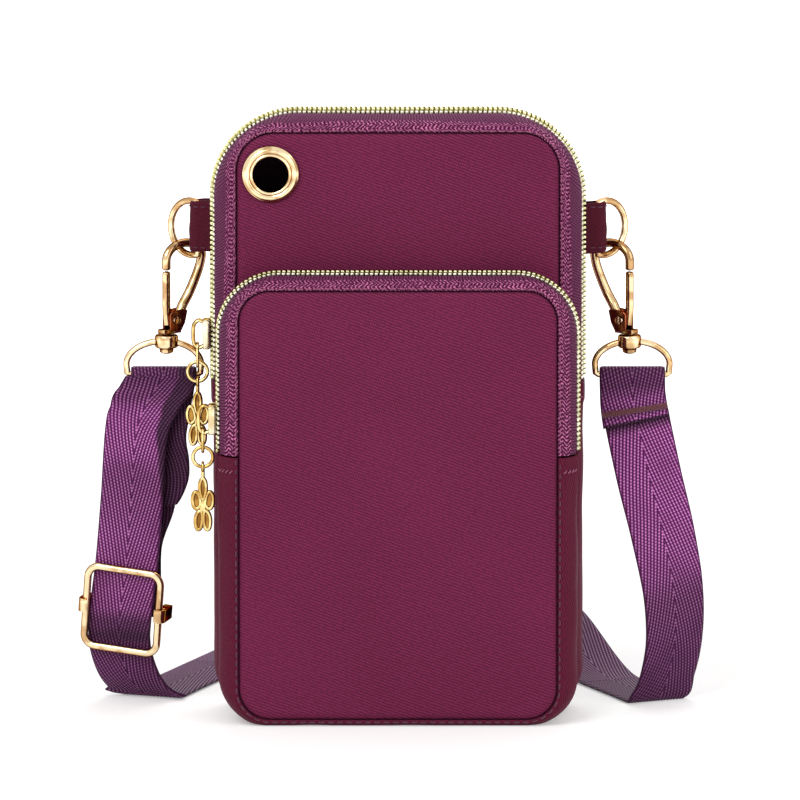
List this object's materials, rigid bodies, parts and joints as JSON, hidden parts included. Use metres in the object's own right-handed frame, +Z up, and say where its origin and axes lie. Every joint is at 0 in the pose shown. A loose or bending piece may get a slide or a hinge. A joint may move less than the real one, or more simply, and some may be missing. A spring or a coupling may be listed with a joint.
{
  "type": "crossbody bag",
  "caption": "Small nylon crossbody bag with a zipped main compartment, a zipped front pocket, an eyelet, charm zip pulls and a clip-on webbing strap with a slider buckle.",
  "frame": {"origin": "centre of the main body's flat bottom face, in the plane of the main zip", "axes": "+Z up, front of the bag towards -Y, +X to the right seen from the front"},
  "size_m": [0.1834, 0.1388, 0.1776],
  "materials": {
    "nylon": "plum twill nylon with a soft sheen",
    "gusset": "darker plum twill nylon",
    "tape": "purple herringbone zip tape",
    "lining": "thin dark lining cloth",
    "foam": "soft foam padding",
    "teeth": "pale gold plated zip teeth",
    "gold": "polished light gold plating",
    "steel": "drawn spring wire",
    "webbing": "purple herringbone webbing with a satin sheen"
  },
  "bodies": {
    "root": {"back_panel": "nylon", "back_foam": "foam", "back_lining": "lining", "body_gusset": "gusset", "front_panel_lower": "nylon", "pocket_panel_lower": "nylon", "pocket_gusset": "gusset", "pocket_lining": "lining", "main_tape_back": "tape", "main_teeth_back": "teeth", "tab_left": "nylon", "tab_right": "nylon", "strap_left": "webbing", "strap_hank": "webbing", "strap_right": "webbing"},
    "front_flap": {"front_panel_upper": "nylon", "front_lining": "lining", "main_tape_front": "tape", "main_teeth_front": "teeth", "pocket_tape_rear": "tape", "pocket_teeth_rear": "teeth", "eyelet": "gold", "eyelet_washer": "gold"},
    "pocket_flap": {"pocket_panel_upper": "nylon", "pocket_tape_front": "tape", "pocket_teeth_front": "teeth"},
    "main_slider": {"main_slider": "gold"},
    "main_link": {"main_link": "gold"},
    "main_jump_ring": {"main_jump_ring": "gold"},
    "main_charm": {"main_charm": "gold"},
    "pocket_slider": {"pocket_slider": "gold"},
    "pocket_link": {"pocket_link": "gold"},
    "pocket_jump_ring": {"pocket_jump_ring": "gold"},
    "pocket_charm": {"pocket_charm": "gold"},
    "d_ring_left": {"d_ring_left": "gold"},
    "d_ring_right": {"d_ring_right": "gold"},
    "strap_ring_left": {"strap_ring_left": "gold"},
    "strap_ring_right": {"strap_ring_right": "gold"},
    "hook_left": {"hook_left": "gold", "gate_rivet_left": "gold", "gate_spring_left": "steel"},
    "hook_right": {"hook_right": "gold", "gate_rivet_right": "gold", "gate_spring_right": "steel"},
    "gate_left": {"gate_left": "gold"},
    "gate_right": {"gate_right": "gold"},
    "slider_frame": {"slider_frame": "gold"},
    "slider_bar": {"slider_bar": "gold", "strap_end_loop": "webbing"}
  },
  "joints": [
    {"name": "front_flap_fold", "type": "hinge", "parent": "root", "child": "front_flap", "pos_m": [0, -0.0319, 0.078], "axis": [1, 0, 0], "range_deg": [0, 25]},
    {"name": "pocket_flap_fold", "type": "hinge", "parent": "front_flap", "child": "pocket_flap", "pos_m": [0, -0.0319, 0.078], "axis": [1, 0, 0], "range_deg": [0, 20]},
    {"name": "main_slider_slide", "type": "slide", "parent": "root", "child": "main_slider", "axis": [0, 0, 1], "range_m": [-0.003, 0.018]},
    {"name": "main_link_swing", "type": "hinge", "parent": "main_slider", "child": "main_link", "pos_m": [-0.0584, 0, 0.107], "axis": [1, 0, 0], "range_deg": [-25, 0]},
    {"name": "main_jump_ring_swing", "type": "hinge", "parent": "main_link", "child": "main_jump_ring", "pos_m": [-0.0584, 0, 0.10145], "axis": [0, 1, 0], "range_deg": [0, 6]},
    {"name": "main_charm_swing", "type": "hinge", "parent": "main_jump_ring", "child": "main_charm", "pos_m": [-0.0584, 0, 0.09695], "axis": [1, 0, 0], "range_deg": [-15, 0]},
    {"name": "pocket_slider_slide", "type": "slide", "parent": "front_flap", "child": "pocket_slider", "axis": [0, 0, 1], "range_m": [-0.004, 0.02]},
    {"name": "pocket_link_swing", "type": "hinge", "parent": "pocket_slider", "child": "pocket_link", "pos_m": [-0.0567, -0.02015, 0.0853], "axis": [1, 0, 0], "range_deg": [-45, 15]},
    {"name": "pocket_jump_ring_swing", "type": "hinge", "parent": "pocket_link", "child": "pocket_jump_ring", "pos_m": [-0.0567, -0.02015, 0.07975], "axis": [0, 1, 0], "range_deg": [0, 25]},
    {"name": "pocket_charm_swing", "type": "hinge", "parent": "pocket_jump_ring", "child": "pocket_charm", "pos_m": [-0.0567, -0.02015, 0.07525], "axis": [1, 0, 0], "range_deg": [-30, 15]},
    {"name": "d_ring_left_swing", "type": "hinge", "parent": "root", "child": "d_ring_left", "pos_m": [-0.0583, 0.0052, 0.1412], "axis": [0, 0, 1], "range_deg": [-5, 5]},
    {"name": "d_ring_right_swing", "type": "hinge", "parent": "root", "child": "d_ring_right", "pos_m": [0.0583, 0.0052, 0.1412], "axis": [0, 0, 1], "range_deg": [0, 5]},
    {"name": "strap_ring_left_tilt", "type": "hinge", "parent": "root", "child": "strap_ring_left", "pos_m": [-0.06832, 0.0044, 0.09831], "axis": [1, 0, 0], "range_deg": [-0.8, 1]},
    {"name": "strap_ring_right_tilt", "type": "hinge", "parent": "root", "child": "strap_ring_right", "pos_m": [0.06832, 0.0044, 0.09831], "axis": [1, 0, 0], "range_deg": [-0.8, 1]},
    {"name": "hook_left_swivel", "type": "hinge", "parent": "strap_ring_left", "child": "hook_left", "pos_m": [-0.06752, 0.0044, 0.11031], "axis": [0, 0, 1], "range_deg": [-4, 4]},
    {"name": "hook_right_swivel", "type": "hinge", "parent": "strap_ring_right", "child": "hook_right", "pos_m": [0.06752, 0.0044, 0.11031], "axis": [0, 0, 1], "range_deg": [0, 4]},
    {"name": "gate_left_swing", "type": "hinge", "parent": "hook_left", "child": "gate_left", "pos_m": [-0.06579, 0.00575, 0.11431], "axis": [-0.6157, 0.788, 0], "range_deg": [0, 25], "stiffness_Nm_per_rad": 0.005, "springref_deg": -11.46},
    {"name": "gate_right_swing", "type": "hinge", "parent": "hook_right", "child": "gate_right", "pos_m": [0.06579, 0.00575, 0.11431], "axis": [-0.6157, -0.788, 0], "range_deg": [0, 25], "stiffness_Nm_per_rad": 0.005, "springref_deg": -11.46},
    {"name": "slider_frame_slide", "type": "slide", "parent": "root", "child": "slider_frame", "axis": [0.069, -0.082, 0.9942], "range_m": [0, 0.016]},
    {"name": "slider_bar_slide", "type": "slide", "parent": "slider_frame", "child": "slider_bar", "axis": [0.069, -0.082, 0.9942], "range_m": [-0.002, 0.002]}
  ]
}
